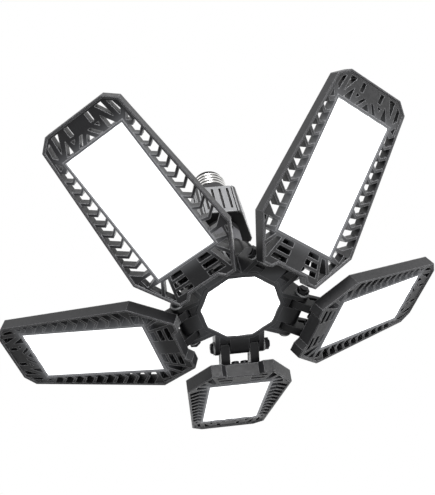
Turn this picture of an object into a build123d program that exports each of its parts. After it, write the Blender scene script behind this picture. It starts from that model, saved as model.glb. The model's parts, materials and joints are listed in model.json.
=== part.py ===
from build123d import *
from math import cos, sin, tan, radians, pi
import os

# Ceiling light that screws into an E26 lamp socket: a grooved five-sided driver barrel, a
# ten-sided hub with its own light, and five hinged light leaves round it.
# The origin is on the axis of the screw base, on the seat that meets the socket's rim.
# +Z points up into the socket, so the whole light hangs below Z = 0.

os.makedirs("parts", exist_ok=True)

# Driving dimensions, mm

# Screw base
thread_diameter = 26.05
thread_pitch = 3.629
thread_depth = 1.05
thread_width = 2.9
thread_turns = 4.2
thread_start = 1.7
shell_wall = 0.6
shell_straight = 19.0
shell_shoulder = 3.2
shoulder_round = 2.0
shell_mouth_radius = 7.8
insulator_height = 3.0
insulator_depth = 2.0
insulator_lip = 0.6
contact_radius = 4.6
contact_height = 1.6
contact_edge = 1.0

# Driver barrel and the collar between it and the seat
collar_height = 14.0
collar_radius = 14.2
collar_wall = 2.2
collar_edge = 0.8
cap_radius = 16.2
cap_thickness = 2.6
spigot_wall = 1.8
spigot_height = 9.0
barrel_flat = 20.0
barrel_corner_cut = 1.9
barrel_height = 31.4
barrel_bore = 15.2
barrel_floor = 2.4
barrel_edge = 0.8
groove_count = 4
groove_pitch = 5.6
groove_width = 1.8
groove_depth = 1.3
groove_top_margin = 3.4
groove_bottom_margin = 4.4
corner_line_width = 0.9
corner_line_inset = 0.5

# Driver board and what stands on it
board_thickness = 1.6
driver_board_width = 26.0
driver_board_margin = 2.0
part_spacing = 6.6
transformer_size = 12.0
transformer_depth = 9.0
capacitor_radius = 4.0
capacitor_length = 12.0
choke_radius = 3.6
choke_length = 7.0

# Supply leads from the driver board down to the hub board
lead_radius = 0.8
lead_rise = 1.5
lead_hole_radius = 4.0

# Neck between the barrel and the hub
ring_height = 6.5
ring_radius = 13.4
neck_across = 24.0
neck_sides = 4
neck_corner = 5.0
neck_height = 19.5
neck_bore_radius = 6.0
notch_width = 3.0
notch_height = 4.0
notch_depth = 1.6

# Hub
dome_height = 36.5
dome_base_radius = 19.5
dome_top_radius = 15.5
dome_bulge = 5.5
dome_wall = 2.4
dome_flange = 2.6
dome_fin_count = 20
dome_fin_thickness = 1.3
dome_fin_height = 1.1
flange_proud = 0.8
flange_edge = 0.7
hub_sides = 10
hub_radius = 30.0
hub_height = 18.8
hub_wall = 2.6
hub_rim_edge = 0.9
hub_lens_radius = 26.2
hub_lens_thickness = 2.0
hub_lens_recess = 0.6
hub_ledge = 1.8
hub_light_depth = 5.6
hub_web_thickness = 3.0
hub_screw_circle = 25.2
hub_screw_angle = 54.0
hub_boss_radius = 3.4

# Light chips, boards and lenses
led_board_thickness = 1.2
led_length = 3.5
led_width = 2.8
led_height = 0.7
hub_led_inset = 4.6
hub_inner_led_circle = 11.5
lens_edge = 0.4
fit_gap = 0.15

# Hinges between the hub and its leaves
leaf_count = 5
leaf_start = 18.0
hinge_radius = 38.0
hinge_above_face = 4.0
lug_width = 13.0
lug_radius = 5.0
lug_root_above = 13.6
lug_root_below = 3.0
ear_thickness = 3.2
root_gap = 0.6
arm_gap = 0.5
arm_thickness = 6.0
knuckle_radius = 5.6
arm_slot_length = 7.0
arm_slot_width = 2.6
arm_slot_out = 8.5
arm_slot_back = 5.2
arm_slot_lean = 34.0
bolt_radius = 2.4
bolt_running_gap = 0.05
bolt_head_radius = 3.7
bolt_head_height = 2.0
bolt_head_edge = 0.9
bolt_socket_across = 2.6
bolt_socket_depth = 1.2
bolt_end_length = 0.8
washer_radius = 4.6
washer_thickness = 1.0
nut_across = 7.2
nut_height = 2.8

# Leaf frames; places along a leaf are measured out from its hinge axis
near_end = -4.8
near_half_width = 21.2
near_shoulder = 5.0
near_shoulder_half_width = 36.8
far_margin = 19.4
far_chamfer = 6.6
far_shoulder_half_width = 28.8
far_half_width = 21.0
recess_depth = 3.4
recess_half_width = 11.0
recess_slope = 3.2
face_below_hinge = 21.2
rim_proud = 0.9
frame_depth = 8.8
rim_wall = 1.6
rim_edge = 0.45
lattice_recess = 1.0

# Lattice of a leaf
rib_count = 10
rib_thickness = 1.7
rib_lean = 38.0
rib_point_share = 0.45
upright_ribs = 3
first_rib_offset = 5.0
last_rib_offset = 5.0
centre_block_half_width = 6.2
ladder_half_width = 13.6
ladder_end_half_width = 18.4
rung_count = 3
rung_thickness = 2.0

# Light tray and cooling fins of a leaf
lens_start = 17.6
lens_length = 89.0
lens_width = 42.2
lens_thickness = 1.6
lens_recess = 0.7
tray_lip = 1.5
tray_ledge = 1.4
tray_floor = 2.4
led_columns = 8
led_rows = 4
led_inset = 3.2
fin_count = 9
fin_thickness = 1.3
fin_height = 3.0
fin_margin = 3.0

# Bracket that carries the hinge arms on the back of a leaf
plate_start = 3.6
plate_length = 19.0
plate_half_width = 15.0
plate_thickness = 2.4
plate_corner = 3.0

# Screws
screw_radius = 1.5
screw_head_radius = 2.7
screw_head_height = 1.8
screw_depth = 5.5
screw_slot_length = 3.0
screw_slot_width = 0.8
screw_slot_depth = 0.9
screw_side = 3.1
screw_first = 6.4
screw_second = 15.4

# Each leaf's azimuth and its tilt at rest, degrees; minus means that the far end is raised.
leaf_tilts = {
    "right": (18, -32.5),
    "bottom": (90, -26.5),
    "left": (162, -20.5),
    "upper_left": (234, -21.0),
    "upper_right": (306, -32.0),
}

# Corners of the windows at a leaf's far end. The first number is the share of the way from
# the tray to the rim wall, the second is the share of the lens's half width.
far_windows = [
    [(0.92, 0.30), (0.92, 0.43), (0.55, 0.43), (0.55, 0.30)],
    [(0.92, 0.88), (0.92, 0.66), (0.25, 0.93)],
    [(0.56, 0.62), (0.05, 0.62), (0.05, 0.86)],
    [(0.82, 1.03), (0.71, 1.15), (0.34, 1.21), (0.17, 1.10)],
    [(0.12, 1.26), (-0.11, 1.14), (-0.22, 1.27)],
    [(0.40, 0.10), (0.40, 0.19), (0.04, 0.42), (0.04, 0.30)],
    [(0.42, 0.36), (0.42, 0.49), (0.28, 0.46)],
]
far_middle_window = [(0.30, 0), (0.04, 0.14), (0.04, -0.14)]

# The same for the windows that fan out from the lens's near corners
near_windows = [
    [(0.86, 0.98), (0.09, 0.78), (0.09, 0.92), (0.52, 1.16)],
    [(0.41, 1.23), (0.05, 1.01), (0.05, 1.38)],
    [(-0.14, 1.10), (-0.33, 1.10), (-0.33, 1.45), (-0.04, 1.41)],
    [(-0.07, 1.49), (-0.32, 1.53), (-0.29, 1.61)],
]

# Levels worked out from the dimensions above

barrel_top = -collar_height
cap_bottom = barrel_top - cap_thickness
barrel_bottom = cap_bottom - barrel_height
neck_top = barrel_bottom - ring_height
neck_bottom = neck_top - neck_height
hub_top = neck_bottom - dome_height
hub_face = hub_top - hub_height

thread_root = thread_diameter / 2 - thread_depth
shell_inside = thread_root - shell_wall
shell_top = shell_straight + shell_shoulder
insulator_top = shell_top + insulator_height

floor_top = barrel_bottom + barrel_floor
hub_flat = hub_radius * cos(pi / hub_sides)
ledge_radius = hub_lens_radius - hub_ledge
hub_lens_front = hub_face + hub_lens_recess
hub_lens_back = hub_lens_front + hub_lens_thickness
web_bottom = hub_lens_back + hub_light_depth
web_top = web_bottom + hub_web_thickness
hub_board_front = web_bottom - led_board_thickness
hinge_height = hub_face + hinge_above_face

lens_end = lens_start + lens_length
far_end = lens_end + far_margin
frame_front = -(face_below_hinge + rim_proud)
frame_back = frame_front + frame_depth
lattice_front = frame_front + lattice_recess
lens_front = -face_below_hinge
tray_front = lens_front - lens_recess
lens_seat = lens_front + lens_thickness
tray_bottom = frame_back - tray_floor
leaf_board_front = tray_bottom - led_board_thickness
tray_side = lens_width / 2 + tray_lip
plate_back = frame_back + plate_thickness
plate_end = plate_start + plate_length
arm_inner = lug_width / 2 + arm_gap
arm_outer = arm_inner + arm_thickness
ear_inner = arm_outer + arm_gap
ear_outer = ear_inner + ear_thickness
washer_outer = ear_outer + washer_thickness
block_outer = hinge_radius - knuckle_radius - root_gap
side_turn = 2 * pi / hub_sides
block_inner = (hub_flat - ear_outer * sin(side_turn)) / cos(side_turn) - hub_wall / 2


def save(builder, name):
    """Label a finished piece and write its STEP file."""
    builder.part.label = name
    export_step(builder.part, f"parts/{name}.step")


def decagon(radius):
    """Ten-sided outline whose flat sides face the leaves."""
    RegularPolygon(radius, hub_sides)


def hub_plane(azimuth):
    """Upright plane through the axis: X runs out at the azimuth, Y up from the hinge."""
    out = (cos(radians(azimuth)), sin(radians(azimuth)), 0)
    across = (sin(radians(azimuth)), -cos(radians(azimuth)), 0)
    return Plane(origin=(0, 0, hinge_height), x_dir=out, z_dir=across)


def leaf_plane(azimuth, tilt):
    """Plane on a hinge axis: X runs out along the leaf, Y along the hinge, Z to the back."""
    out_x = cos(radians(azimuth))
    out_y = sin(radians(azimuth))
    level = cos(radians(tilt))
    drop = sin(radians(tilt))
    hinge_point = (hinge_radius * out_x, hinge_radius * out_y, hinge_height)
    along = (level * out_x, level * out_y, -drop)
    back = (drop * out_x, drop * out_y, level)
    return Plane(origin=hinge_point, x_dir=along, z_dir=back)


# Screw base

def screw_shell():
    """Threaded metal shell with a drawn-in shoulder."""
    with BuildPart() as shell:
        with BuildSketch(Plane.XZ):
            with BuildLine():
                Polyline(
                    (shell_inside, 0),
                    (thread_root, 0),
                    (thread_root, shell_straight),
                    (shell_mouth_radius + shell_wall, shell_top),
                    (shell_mouth_radius, shell_top),
                    (shell_inside, shell_straight),
                    close=True,
                )
            make_face()
        revolve(axis=Axis.Z)
        shoulder = shell.edges().filter_by_position(Axis.Z, shell_straight, shell_straight)
        fillet(shoulder, shoulder_round)
        with BuildLine(Plane.XY.offset(thread_start)) as thread:
            Helix(thread_pitch, thread_pitch * thread_turns, thread_root)
        with BuildSketch(Plane(thread.line @ 0, x_dir=(1, 0, 0), z_dir=thread.line % 0)):
            buried = -shell_wall / 2
            with BuildLine():
                Line((buried, -thread_width / 2), (buried, thread_width / 2))
                ThreePointArc((buried, thread_width / 2), (thread_depth, 0),
                              (buried, -thread_width / 2))
            make_face()
        sweep(path=thread.line, is_frenet=True)
    save(shell, "screw_shell")


def base_insulator():
    """Glass insulator that fills the shell's mouth and carries the contact."""
    with BuildPart() as insulator:
        with BuildSketch(Plane.XZ):
            with BuildLine():
                Polyline(
                    (0, shell_top - insulator_depth),
                    (shell_mouth_radius, shell_top - insulator_depth),
                    (shell_mouth_radius, shell_top),
                    (contact_radius + insulator_lip, insulator_top),
                    (0, insulator_top),
                    close=True,
                )
            make_face()
        revolve(axis=Axis.Z)
    save(insulator, "base_insulator")


def centre_contact():
    """Tip contact, flat where the socket's spring touches it."""
    with BuildPart() as contact:
        with BuildSketch(Plane.XY.offset(insulator_top)):
            Circle(contact_radius)
        extrude(amount=contact_height)
        tip = contact.faces().sort_by(Axis.Z)[-1]
        chamfer(tip.edges(), contact_edge)
    save(contact, "centre_contact")


# Driver barrel

def barrel_cap():
    """Plastic cap that closes the barrel. Its hollow collar carries the seat, and its
    spigot stands inside the shell."""
    spigot_radius = shell_inside - fit_gap
    with BuildPart() as cap:
        with BuildSketch(Plane.XZ):
            with BuildLine():
                Polyline(
                    (0, cap_bottom),
                    (cap_radius, cap_bottom),
                    (cap_radius, barrel_top),
                    (collar_radius, barrel_top),
                    (collar_radius, -collar_edge),
                    (collar_radius - collar_edge, 0),
                    (spigot_radius, 0),
                    (spigot_radius, spigot_height),
                    (spigot_radius - spigot_wall, spigot_height),
                    (spigot_radius - spigot_wall, -collar_wall),
                    (collar_radius - collar_wall, -collar_wall),
                    (collar_radius - collar_wall, barrel_top),
                    (0, barrel_top),
                    close=True,
                )
            make_face()
        revolve(axis=Axis.Z)
    save(cap, "barrel_cap")


def driver_barrel():
    """Five-sided aluminium barrel. Each flat faces between two leaves and has upright
    grooves that stop short of both ends, and a fine line along each of its edges."""
    groove_top = barrel_top - groove_top_margin
    groove_bottom = barrel_bottom + groove_bottom_margin
    groove_length = groove_top - groove_bottom
    flat_width = 2 * (barrel_flat * tan(pi / leaf_count) - barrel_corner_cut)
    corner_line_spacing = flat_width - 2 * corner_line_inset - corner_line_width
    with BuildPart() as barrel:
        with BuildSketch(Plane.XY.offset(barrel_bottom)) as section:
            RegularPolygon(barrel_flat, leaf_count, major_radius=False, rotation=leaf_start)
            chamfer(section.vertices(), barrel_corner_cut)
        extrude(amount=barrel_height + cap_thickness)
        ends = barrel.edges().filter_by(Plane.XY)
        chamfer(ends, barrel_edge)
        with BuildSketch(Plane.XY.offset(floor_top)):
            Circle(barrel_bore)
        extrude(amount=barrel_top - floor_top, mode=Mode.SUBTRACT)
        with BuildSketch(Plane.XY.offset(cap_bottom)):
            Circle(cap_radius + fit_gap)
        extrude(amount=cap_thickness, mode=Mode.SUBTRACT)
        with BuildSketch(Plane.XY.offset(barrel_bottom)):
            Circle(lead_hole_radius)
        extrude(amount=barrel_floor, mode=Mode.SUBTRACT)
        with BuildSketch(Plane.YZ.offset(barrel_flat - groove_depth)):
            with Locations((0, (groove_top + groove_bottom) / 2)):
                with GridLocations(groove_pitch, 0, groove_count, 1):
                    SlotOverall(groove_length, groove_width, rotation=90)
                with GridLocations(corner_line_spacing, 0, 2, 1):
                    Rectangle(corner_line_width, 2 * barrel_height)
        cutter = extrude(amount=2 * groove_depth, mode=Mode.PRIVATE)
        with PolarLocations(0, leaf_count, leaf_start + 180 / leaf_count):
            add(cutter, mode=Mode.SUBTRACT)
    save(barrel, "driver_barrel")


def driver_board():
    """Upright circuit board that stands on the barrel's floor."""
    with BuildPart() as board:
        with BuildSketch(Plane.XY.offset(floor_top)):
            Rectangle(driver_board_width, board_thickness)
        extrude(amount=cap_bottom - driver_board_margin - floor_top)
    save(board, "driver_board")


def driver_parts():
    """Transformer, two capacitors and a choke on the faces of the driver board."""
    face = board_thickness / 2
    middle = (floor_top + cap_bottom) / 2
    low = middle - part_spacing
    high = middle + part_spacing
    with BuildPart() as parts:
        with Locations((0, face + transformer_depth / 2, low)):
            Box(transformer_size, transformer_depth, transformer_size)
        with Locations((0, face + capacitor_radius, high)):
            Cylinder(capacitor_radius, capacitor_length, rotation=(0, 90, 0))
        with Locations((0, -face - capacitor_radius, low)):
            Cylinder(capacitor_radius, capacitor_length, rotation=(0, 90, 0))
        with Locations((0, -face - choke_length / 2, high)):
            Cylinder(choke_radius, choke_length, rotation=(90, 0, 0))
    save(parts, "driver_parts")


def supply_leads():
    """Two straight leads, one on each face of the driver board, down to the hub board."""
    side = board_thickness / 2 + lead_radius
    with BuildPart() as leads:
        with BuildSketch(Plane.XY.offset(web_bottom)):
            with Locations((0, side), (0, -side)):
                Circle(lead_radius)
        extrude(amount=floor_top + lead_rise - web_bottom)
    save(leads, "supply_leads")


# Neck

def neck_ring():
    """Dark sealing ring, narrower than the barrel above it."""
    with BuildPart() as ring:
        with BuildSketch(Plane.XY.offset(neck_top)):
            Circle(ring_radius)
            Circle(neck_bore_radius, mode=Mode.SUBTRACT)
        extrude(amount=ring_height)
    save(ring, "neck_ring")


def neck_housing():
    """Square neck with cut corners, a bore and a notch at the top of each flat."""
    flat = neck_across / 2
    notch_middle = (
        flat - notch_depth / 2,
        flat - neck_corner - notch_width / 2,
        neck_top - notch_height / 2,
    )
    with BuildPart() as neck:
        with BuildSketch(Plane.XY.offset(neck_bottom)) as section:
            Rectangle(neck_across, neck_across)
            chamfer(section.vertices(), neck_corner)
            Circle(neck_bore_radius, mode=Mode.SUBTRACT)
        extrude(amount=neck_height)
        with PolarLocations(0, neck_sides):
            with Locations(notch_middle):
                Box(notch_depth, notch_width, notch_height, mode=Mode.SUBTRACT)
    save(neck, "neck_housing")


# Hub

def dome_section(bottom_radius, top_radius, bottom, top, bulge):
    """Half section of the dome from its axis to its bulging side."""
    with BuildLine() as section:
        SagittaArc((top_radius, top), (bottom_radius, bottom), bulge)
        Polyline((bottom_radius, bottom), (0, bottom), (0, top), (top_radius, top))
    make_face(section.edges())


def hub_dome():
    """Cast dome with upright fins on a ten-sided flange."""
    roof = neck_bottom - dome_wall
    with BuildPart() as dome:
        with BuildSketch(Plane.XY.offset(hub_top)):
            decagon(hub_radius + flange_proud)
        extrude(amount=dome_flange)
        chamfer(dome.edges().filter_by(Plane.XY), flange_edge)
        with BuildSketch(Plane.XY.offset(hub_top)):
            with PolarLocations(hub_screw_circle, leaf_count, hub_screw_angle):
                Circle(screw_radius)
        extrude(amount=dome_flange, mode=Mode.SUBTRACT)
        with BuildSketch(Plane.XZ):
            dome_section(dome_base_radius, dome_top_radius, hub_top, neck_bottom, dome_bulge)
        revolve(axis=Axis.Z)
        with BuildSketch(Plane.XZ):
            dome_section(dome_base_radius, dome_top_radius, hub_top, neck_bottom,
                         dome_bulge + dome_fin_height)
        blade = extrude(amount=dome_fin_thickness / 2, both=True, mode=Mode.PRIVATE)
        with PolarLocations(0, dome_fin_count):
            add(blade)
        with BuildSketch(Plane.XZ):
            dome_section(dome_base_radius - dome_wall, dome_top_radius - dome_wall, hub_top,
                         roof, dome_bulge)
        revolve(axis=Axis.Z, mode=Mode.SUBTRACT)
        with BuildSketch(Plane.XY.offset(roof)):
            Circle(neck_bore_radius)
        extrude(amount=dome_wall, mode=Mode.SUBTRACT)
    save(dome, "hub_dome")


def hinge_block():
    """Side view of the block that carries a leaf's lug and ears."""
    with Locations((block_inner, -lug_root_below)):
        Rectangle(block_outer - block_inner, lug_root_below + lug_root_above,
                  align=(Align.MIN, Align.MIN))


def hinge_lug():
    """Side view of a lug or an ear: its round end and the slope down from the block."""
    with Locations((hinge_radius, 0)):
        Circle(lug_radius)
    hinge_block()
    make_hull()


def hub_housing():
    """Cast ten-sided housing with its inner web and screw bosses. Each leaf has a block on
    it with a middle lug and two ears, and the hinge bolt goes through all three."""
    with BuildPart() as housing:
        with BuildSketch(Plane.XY.offset(hub_face)):
            decagon(hub_radius)
        extrude(amount=hub_height)
        rim = housing.faces().sort_by(Axis.Z)[0]
        chamfer(rim.edges(), hub_rim_edge)
        for azimuth, _ in leaf_tilts.values():
            with BuildSketch(hub_plane(azimuth)):
                hinge_block()
            extrude(amount=ear_outer, both=True)
            with BuildSketch(hub_plane(azimuth)):
                hinge_lug()
            extrude(amount=lug_width / 2, both=True)
            for side in (1, -1):
                with BuildSketch(hub_plane(azimuth).offset(side * ear_inner)):
                    hinge_lug()
                extrude(amount=side * ear_thickness)
            with BuildSketch(hub_plane(azimuth)):
                with Locations((hinge_radius, 0)):
                    Circle(bolt_radius)
            extrude(amount=ear_outer, both=True, mode=Mode.SUBTRACT)
        with BuildSketch(Plane.XY.offset(hub_face)):
            decagon(hub_lens_radius + fit_gap)
        extrude(amount=hub_lens_back - hub_face, mode=Mode.SUBTRACT)
        with BuildSketch(Plane.XY.offset(hub_lens_back)):
            decagon(ledge_radius)
        extrude(amount=hub_light_depth, mode=Mode.SUBTRACT)
        with BuildSketch(Plane.XY.offset(web_top)):
            decagon(hub_radius - hub_wall)
            with PolarLocations(hub_screw_circle, leaf_count, hub_screw_angle):
                Circle(hub_boss_radius, mode=Mode.SUBTRACT)
        extrude(amount=hub_top - web_top, mode=Mode.SUBTRACT)
        with BuildSketch(Plane.XY.offset(web_bottom)):
            Circle(lead_hole_radius)
        extrude(amount=hub_web_thickness, mode=Mode.SUBTRACT)
        with BuildSketch(Plane.XY.offset(hub_top)):
            with PolarLocations(hub_screw_circle, leaf_count, hub_screw_angle):
                Circle(screw_radius)
        extrude(amount=-screw_depth, mode=Mode.SUBTRACT)
    save(housing, "hub_housing")


def hub_board():
    """Ten-sided light board under the housing's web."""
    with BuildPart() as board:
        with BuildSketch(Plane.XY.offset(hub_board_front)):
            decagon(ledge_radius - fit_gap)
        extrude(amount=led_board_thickness)
    save(board, "hub_board")


def hub_leds():
    """Light chips: one in the middle, an inner ring and one towards each corner."""
    with BuildPart() as chips:
        with BuildSketch(Plane.XY.offset(hub_board_front)):
            Rectangle(led_length, led_width)
            with PolarLocations(hub_inner_led_circle, leaf_count):
                Rectangle(led_length, led_width)
            with PolarLocations(ledge_radius - hub_led_inset, hub_sides):
                Rectangle(led_length, led_width)
        extrude(amount=-led_height)
    save(chips, "hub_leds")


def hub_lens():
    """White ten-sided diffuser of the hub."""
    with BuildPart() as lens:
        with BuildSketch(Plane.XY.offset(hub_lens_front)):
            decagon(hub_lens_radius)
        extrude(amount=hub_lens_thickness)
        front = lens.faces().sort_by(Axis.Z)[0]
        chamfer(front.edges(), lens_edge)
    save(lens, "hub_lens")


def pan_head_screw(depth):
    """Cross-slotted screw at each current location, with its head above the seat."""
    on_seat = (Align.CENTER, Align.CENTER, Align.MIN)
    Cylinder(screw_radius, depth, align=(Align.CENTER, Align.CENTER, Align.MAX))
    Cylinder(screw_head_radius, screw_head_height, align=on_seat)
    with Locations((0, 0, screw_head_height - screw_slot_depth)):
        Box(screw_slot_length, screw_slot_width, screw_slot_depth, align=on_seat,
            mode=Mode.SUBTRACT)
        Box(screw_slot_width, screw_slot_length, screw_slot_depth, align=on_seat,
            mode=Mode.SUBTRACT)


def hub_screws():
    """Five screws that hold the dome's flange to the housing."""
    with BuildPart(Plane.XY.offset(hub_top + dome_flange)) as screws:
        with PolarLocations(hub_screw_circle, leaf_count, hub_screw_angle):
            pan_head_screw(dome_flange + screw_depth)
    save(screws, "hub_screws")


# Leaf pieces. Each is made once, on a hinge axis that lies along Y, and then written
# once for each leaf.

def save_on_leaves(piece, name):
    """Write a copy of a leaf piece on the hinge of each leaf."""
    for leaf, (azimuth, tilt) in leaf_tilts.items():
        with BuildPart(leaf_plane(azimuth, tilt)) as copy:
            add(piece.part)
        save(copy, f"{name}_{leaf}")


def leaf_outline():
    """Eight-sided outline of a leaf, wide near the hub, with a shallow recess there."""
    recess = near_end + recess_depth
    with BuildLine() as outline:
        Polyline(
            (recess, 0),
            (recess, recess_half_width),
            (near_end, recess_half_width + recess_slope),
            (near_end, near_half_width),
            (lens_start + near_shoulder, near_shoulder_half_width),
            (far_end - far_chamfer, far_shoulder_half_width),
            (far_end, far_half_width),
            (far_end, 0),
        )
        mirror(about=Plane.XZ)
    make_face(outline.edges())


def side_line(along):
    """Half width of a leaf at a place along its long straight side."""
    start = lens_start + near_shoulder
    run = far_end - far_chamfer - start
    narrowing = (near_shoulder_half_width - far_shoulder_half_width) / run
    return near_shoulder_half_width - narrowing * (along - start)


def chevron_window(start, pitch, index, side):
    """Opening between two ribs. The first ribs stand upright on the tray, and the others
    are V-shaped with their points towards the hub."""
    along = start + index * pitch
    inner = tray_side - tray_lip / 2
    outer = side_line(along + pitch) - rim_wall / 2
    point = inner + rib_point_share * (outer - inner)
    slope = tan(radians(rib_lean))
    outer_lean = (outer - point) * slope
    inner_lean = (point - inner) * slope * min(1, index / upright_ribs)
    next_lean = (point - inner) * slope * min(1, (index + 1) / upright_ribs)
    rib_end = along + rib_thickness / cos(radians(rib_lean))
    Polygon(
        (rib_end, side * point),
        (rib_end + inner_lean, side * inner),
        (along + pitch + next_lean, side * inner),
        (along + pitch, side * point),
        (along + pitch + outer_lean, side * outer),
        (rib_end + outer_lean, side * outer),
        align=None,
        mode=Mode.SUBTRACT,
    )


def end_window(shares, tray_edge, wall_edge, side=1):
    """Window at one end of a leaf, given by shares of the room there."""
    corners = [
        (tray_edge + along * (wall_edge - tray_edge), side * across * lens_width / 2)
        for along, across in shares
    ]
    Polygon(*corners, align=None, mode=Mode.SUBTRACT)


def ladder_window(row, tray_edge, wall_edge, side):
    """Window beside the solid block at the near end, wider towards the hub."""
    pitch = (tray_edge - wall_edge) / rung_count
    flare = (ladder_end_half_width - ladder_half_width) / (rung_count * pitch)
    start = row * pitch + rung_thickness / 2
    end = (row + 1) * pitch - rung_thickness / 2
    Polygon(
        (tray_edge - start, side * centre_block_half_width),
        (tray_edge - start, side * (ladder_half_width + flare * start)),
        (tray_edge - end, side * (ladder_half_width + flare * end)),
        (tray_edge - end, side * centre_block_half_width),
        align=None,
        mode=Mode.SUBTRACT,
    )


def lattice():
    """Flat pattern of a leaf's open lattice."""
    near_tray = lens_start - tray_lip
    near_wall = near_end + rim_wall
    recess_wall = near_end + recess_depth + rim_wall
    far_tray = lens_end + tray_lip
    far_wall = far_end - rim_wall
    first_rib = lens_start + first_rib_offset
    pitch = (lens_end - last_rib_offset - first_rib) / rib_count
    leaf_outline()
    for side in (1, -1):
        for index in range(rib_count):
            chevron_window(first_rib, pitch, index, side)
        for row in range(rung_count):
            ladder_window(row, near_tray, recess_wall, side)
        for shares in near_windows:
            end_window(shares, near_tray, near_wall, side)
        for shares in far_windows:
            end_window(shares, far_tray, far_wall, side)
    end_window(far_middle_window, far_tray, far_wall)


def bracket_screw_sites():
    """Places of the four screws between a bracket and its leaf."""
    return Locations(
        (screw_first, screw_side),
        (screw_first, -screw_side),
        (screw_second, screw_side),
        (screw_second, -screw_side),
    )


def leaf_frame():
    """Cast leaf: rim wall, open lattice, light tray and cooling fins."""
    tray_middle = lens_start + lens_length / 2
    fins_start = plate_end + fin_margin
    fins_end = lens_end + tray_lip
    fin_pitch = (lens_width - fin_thickness) / (fin_count - 1)
    with BuildPart() as frame:
        with BuildSketch(Plane.XY.offset(frame_front)):
            leaf_outline()
            offset(amount=-rim_wall, kind=Kind.INTERSECTION, mode=Mode.SUBTRACT)
        extrude(amount=frame_depth)
        rim = frame.faces().sort_by(Axis.Z)[0]
        chamfer(rim.edges(), rim_edge)
        with BuildSketch(Plane.XY.offset(lattice_front)):
            lattice()
        extrude(amount=frame_back - lattice_front)
        with BuildSketch(Plane.XY.offset(tray_front)):
            with Locations((tray_middle, 0)):
                Rectangle(lens_length + 2 * tray_lip, lens_width + 2 * tray_lip)
        extrude(amount=frame_back - tray_front)
        with BuildSketch(Plane.XY.offset(tray_front)):
            with Locations((tray_middle, 0)):
                Rectangle(lens_length + 2 * fit_gap, lens_width + 2 * fit_gap)
        extrude(amount=lens_seat - tray_front, mode=Mode.SUBTRACT)
        with BuildSketch(Plane.XY.offset(lens_seat)):
            with Locations((tray_middle, 0)):
                Rectangle(lens_length - 2 * tray_ledge, lens_width - 2 * tray_ledge)
        extrude(amount=tray_bottom - lens_seat, mode=Mode.SUBTRACT)
        with BuildSketch(Plane.XY.offset(frame_back)):
            with Locations(((fins_start + fins_end) / 2, 0)):
                with GridLocations(0, fin_pitch, 1, fin_count):
                    Rectangle(fins_end - fins_start, fin_thickness)
        extrude(amount=fin_height)
        with BuildSketch(Plane.XY.offset(frame_back)):
            with bracket_screw_sites():
                Circle(screw_radius)
        extrude(amount=-screw_depth, mode=Mode.SUBTRACT)
    save_on_leaves(frame, "leaf_frame")


def leaf_bracket():
    """Plate on the back of a leaf with two slotted arms that reach the hinge."""
    with BuildPart() as bracket:
        with BuildSketch(Plane.XY.offset(frame_back)) as plate:
            with Locations(((plate_start + plate_end) / 2, 0)):
                Rectangle(plate_length, 2 * plate_half_width)
            chamfer(plate.vertices(), plate_corner)
            with bracket_screw_sites():
                Circle(screw_radius, mode=Mode.SUBTRACT)
        extrude(amount=plate_thickness)
        with BuildSketch(Plane.XZ.offset(arm_inner)):
            with Locations(((plate_start + plate_end) / 2, frame_back + plate_thickness / 2)):
                Rectangle(plate_length, plate_thickness)
            Circle(knuckle_radius)
            make_hull()
            Circle(bolt_radius + bolt_running_gap, mode=Mode.SUBTRACT)
            with Locations((arm_slot_out, -arm_slot_back)):
                SlotOverall(arm_slot_length, arm_slot_width, rotation=-arm_slot_lean,
                            mode=Mode.SUBTRACT)
        extrude(amount=arm_thickness)
        mirror(about=Plane.XZ)
    save_on_leaves(bracket, "leaf_bracket")


def leaf_board():
    """Light board on the floor of a leaf's tray."""
    margin = tray_ledge + fit_gap
    with BuildPart() as board:
        with BuildSketch(Plane.XY.offset(leaf_board_front)):
            with Locations((lens_start + lens_length / 2, 0)):
                Rectangle(lens_length - 2 * margin, lens_width - 2 * margin)
        extrude(amount=led_board_thickness)
    save_on_leaves(board, "leaf_board")


def leaf_leds():
    """Rows of light chips, the outer ones close to the edge of the lens."""
    column_pitch = (lens_length - 2 * led_inset - led_length) / (led_columns - 1)
    row_pitch = (lens_width - 2 * led_inset - led_width) / (led_rows - 1)
    with BuildPart() as chips:
        with BuildSketch(Plane.XY.offset(leaf_board_front)):
            with Locations((lens_start + lens_length / 2, 0)):
                with GridLocations(column_pitch, row_pitch, led_columns, led_rows):
                    Rectangle(led_length, led_width)
        extrude(amount=-led_height)
    save_on_leaves(chips, "leaf_leds")


def leaf_lens():
    """White flat diffuser of a leaf, seated on the tray's ledge."""
    with BuildPart() as lens:
        with BuildSketch(Plane.XY.offset(lens_front)):
            with Locations((lens_start + lens_length / 2, 0)):
                Rectangle(lens_length, lens_width)
        extrude(amount=lens_thickness)
        front = lens.faces().sort_by(Axis.Z)[0]
        chamfer(front.edges(), lens_edge)
    save_on_leaves(lens, "leaf_lens")


def pivot_bolt():
    """Hinge bolt with a round head, a hexagon socket and its nut, held by the hub's ears.
    Plane.XZ faces along -Y."""
    shank_length = 2 * washer_outer + nut_height + bolt_end_length
    with BuildPart() as bolt:
        with BuildSketch(Plane.XZ.offset(-washer_outer)):
            Circle(bolt_radius)
        extrude(amount=shank_length)
        with BuildSketch(Plane.XZ.offset(-washer_outer)):
            Circle(bolt_head_radius)
        extrude(amount=-bolt_head_height)
        crown = bolt.faces().sort_by(Axis.Y)[-1]
        chamfer(crown.edges(), bolt_head_edge)
        with BuildSketch(Plane.XZ.offset(-washer_outer - bolt_head_height)):
            RegularPolygon(bolt_socket_across / 2, 6, major_radius=False)
        extrude(amount=bolt_socket_depth, mode=Mode.SUBTRACT)
        with BuildSketch(Plane.XZ.offset(washer_outer)):
            RegularPolygon(nut_across / 2, 6, major_radius=False)
        extrude(amount=nut_height)
    save_on_leaves(bolt, "pivot_bolt")


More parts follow.
